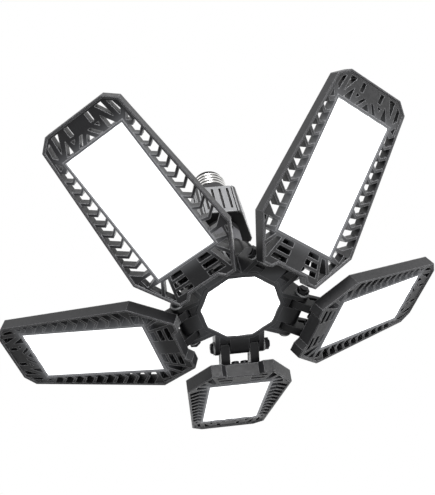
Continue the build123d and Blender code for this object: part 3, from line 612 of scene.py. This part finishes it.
def screwShell():
    v = shellValues
    mesh = bmesh.new()
    rows = round(v["straight"] / v["rowStep"])
    profile = [(None, v["straight"] * i / rows) for i in range(rows)]
    drop = v["rootRadius"] - v["mouthRadius"] - v["wall"]
    for i in range(v["shoulderSteps"] + 1):  # rounded shoulder up to the mouth
        a = pi / 2 * i / v["shoulderSteps"]
        profile.append((v["rootRadius"] - drop * (1 - cos(a)) ** v["shoulderIn"],
                        v["straight"] + (v["top"] - v["straight"]) * sin(a) ** v["shoulderUp"]))
    inside = v["rootRadius"] - v["wall"]
    profile += [(v["mouthRadius"], v["top"]),
                (inside - v["insideIn"], v["straight"] + v["insideUp"]),
                (inside, v["straight"] - v["insideDown"]), (inside, 0)]
    rings = []
    for radius, z in profile:
        ring = []
        for k in range(v["columns"]):
            turn = k / v["columns"]
            r = threadRadius(turn, z) if radius is None else radius
            ring.append(mesh.verts.new((r * cos(2 * pi * turn) * mm,
                                        r * sin(2 * pi * turn) * mm, z * mm)))
        rings.append(ring)
    for lower, upper in zip(rings, rings[1:] + rings[:1]):
        for k in range(v["columns"]):
            j = (k + 1) % v["columns"]
            mesh.faces.new((lower[k], lower[j], upper[j], upper[k]))
    bmesh.ops.recalc_face_normals(mesh, faces=mesh.faces)
    return finishPiece("rolledShell", mesh)


shell = screwShell()
shell.data.materials.append(nickel)
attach(shell, "hub")
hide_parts("screw_shell")
print("screw shell made")


# Stage: pale floor, white surroundings and soft lamps

stageValues = {
    "floorHeight": -1.25, "floorHalf": 4.0,     # m
    "roomLight": 0.36,                          # what the surroundings give, where 1 is white
    "floorGlow": 0.56,                          # seen by the camera only, so the floor looks pale
    "floorTone": ("#f0f0ef", "#f6f6f5"),
    "grainSize": 25,                            # mm
}


def makeStage():
    v = stageValues
    half = v["floorHalf"]
    data = bpy.data.meshes.new("floor")
    corners = [(-half, -half), (half, -half), (half, half), (-half, half)]
    data.from_pydata([(x, y, v["floorHeight"]) for x, y in corners], [], [(0, 1, 2, 3)])
    floor = bpy.data.objects.new("floor", data)
    bpy.context.scene.collection.objects.link(floor)
    material, tree, shader, coords = startMaterial("pale painted floor")
    grain = addNode(tree, "TexNoise", {"Vector": coords, "Scale": 1 / (v["grainSize"] * mm),
                                       "Detail": 4.0})
    tone = addNode(tree, "Mix", {"data_type": "RGBA", 0: grain.outputs["Fac"],
                                 6: linearColour(v["floorTone"][0]),
                                 7: linearColour(v["floorTone"][1])})
    tree.links.new(tone.outputs[2], shader.inputs["Base Color"])
    rays = addNode(tree, "LightPath", {})
    glow = addNode(tree, "Math", {"operation": "MULTIPLY", 0: rays.outputs["Is Camera Ray"],
                                  1: v["floorGlow"]})
    tree.links.new(glow.outputs[0], shader.inputs["Emission Strength"])
    shader.inputs["Emission Color"].default_value = (1, 1, 1, 1)
    shader.inputs["Roughness"].default_value = 0.8
    data.materials.append(material)

    world = bpy.data.worlds.new("white room")
    bpy.context.scene.world = world
    world.use_nodes = True
    tree = world.node_tree
    tree.nodes.clear()
    rays = addNode(tree, "LightPath", {})
    seen = addNode(tree, "Math", {"operation": "MAXIMUM", 0: rays.outputs["Is Camera Ray"],
                                  1: rays.outputs["Is Glossy Ray"]})
    seenToo = addNode(tree, "Math", {"operation": "MAXIMUM", 0: seen.outputs[0],
                                     1: rays.outputs["Is Transmission Ray"]})
    strength = addNode(tree, "MapRange", {"Value": seenToo.outputs[0],
                                          "To Min": v["roomLight"], "To Max": 1.0})
    glow = addNode(tree, "Background", {"Strength": strength.outputs[0]})
    glow.inputs["Color"].default_value = (1, 1, 1, 1)
    addNode(tree, "OutputWorld", {"Surface": glow.outputs[0]})


lampValues = [
    # name, place (m), aim (m), size (m), power (W)
    ("keyLamp", (0.05, -1.15, -0.2), (0, 0, -0.08), 0.5, 12.0),
    ("sideLamp", (1.0, -0.2, -0.6), (0, 0, -0.1), 0.6, 5.0),
    ("fillLamp", (-0.9, -0.5, 0.5), (0, 0, -0.1), 0.8, 2.0),
    ("backLamp", (0.2, 1.0, 0.7), (0, 0, -0.1), 0.8, 4.0),
]


def makeLamps():
    for name, place, aim, size, power in lampValues:
        data = bpy.data.lights.new(name, "AREA")
        data.size = size
        data.energy = power
        lamp = bpy.data.objects.new(name, data)
        bpy.context.scene.collection.objects.link(lamp)
        lamp.location = place
        way = Vector(aim) - Vector(place)
        lamp.rotation_euler = way.to_track_quat("-Z", "Y").to_euler()
        lamp.visible_camera = False


makeStage()
makeLamps()
print("stage and lamps made")


# Camera at the photograph's angle, below the light and looking up at it

cameraValues = {
    "place": (-0.08321, -0.37726, -0.55601),   # m
    "aim": (-0.02435, -0.04153, -0.1293),      # m
    "roll": 12.9,                              # degrees
    "lens": 64.06,                             # mm
    "shiftX": 0.0280, "shiftY": 0.0269,        # shares of the picture's longer side
}


def makeCamera():
    v = cameraValues
    data = bpy.data.cameras.new("camera")
    data.lens = v["lens"]
    data.shift_x = v["shiftX"]
    data.shift_y = v["shiftY"]
    data.clip_start = 0.01
    camera = bpy.data.objects.new("camera", data)
    bpy.context.scene.collection.objects.link(camera)
    camera.location = v["place"]
    way = Vector(v["aim"]) - Vector(v["place"])
    turn = way.to_track_quat("-Z", "Y") @ Quaternion((0, 0, 1), -radians(v["roll"]))
    camera.rotation_euler = turn.to_euler()
    bpy.context.scene.camera = camera


makeCamera()
bpy.context.scene.view_settings.view_transform = "Standard"
print("camera made")
